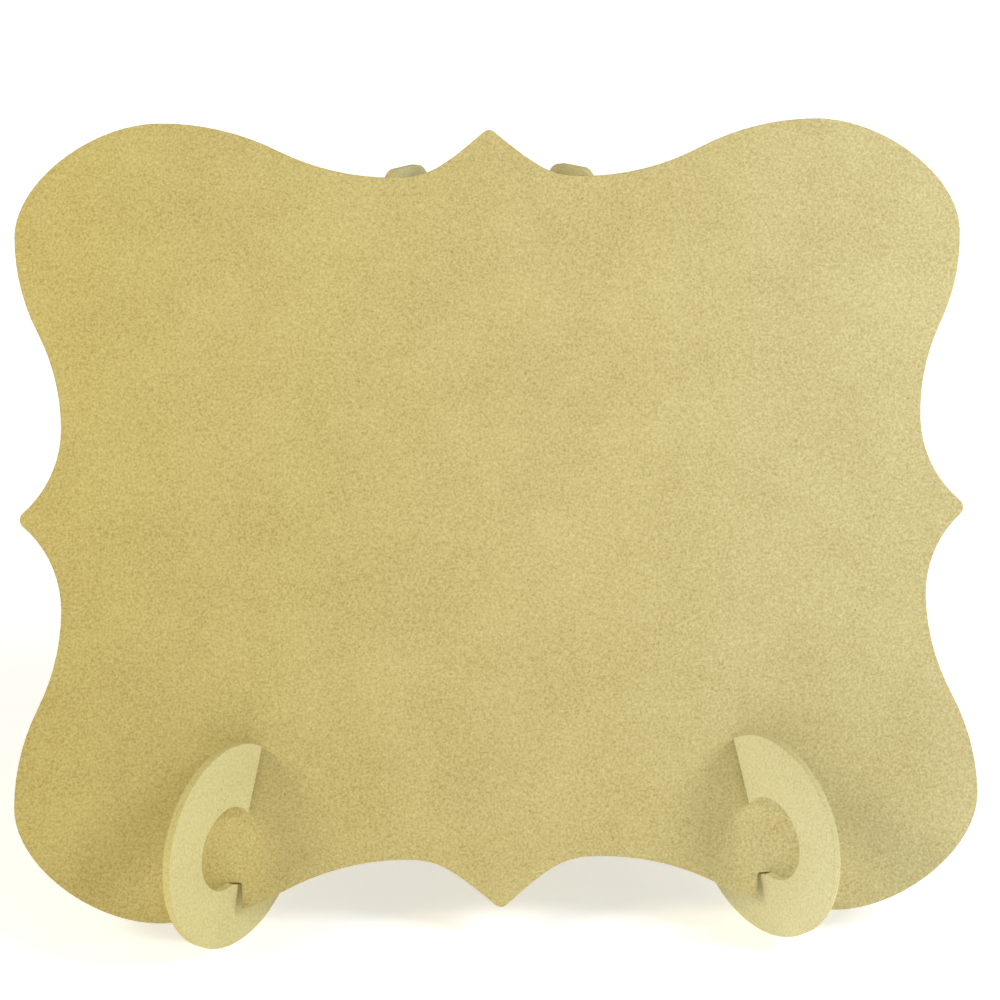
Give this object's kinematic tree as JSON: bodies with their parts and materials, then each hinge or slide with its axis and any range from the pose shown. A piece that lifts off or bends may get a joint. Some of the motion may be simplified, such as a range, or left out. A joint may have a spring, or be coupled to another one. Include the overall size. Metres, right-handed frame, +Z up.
{
  "type": "wooden plaque",
  "caption": "Blank fibreboard plaque with a bracket-shaped outline, leaning on a slot-together stand of crossed leg plates with round front hooks.",
  "frame": {"origin": "on the table, under the middle of the object's overall box", "axes": "+X across the plaque, +Y towards the back, +Z up; the plaque faces -Y"},
  "size_m": [0.3, 0.1894, 0.2422],
  "materials": {
    "plaque_board": "raw sanded medium-density fibreboard, matt",
    "leg_board": "raw sanded medium-density fibreboard, matt"
  },
  "bodies": {
    "stand": {"left_leg": "leg_board", "right_leg": "leg_board"},
    "plaque": {"plaque_panel": "plaque_board"}
  },
  "joints": [
    {"name": "plaque_lift", "type": "slide", "parent": "stand", "child": "plaque", "axis": [0, 0.3649, 0.9311], "range_m": [0, 0.065]}
  ]
}
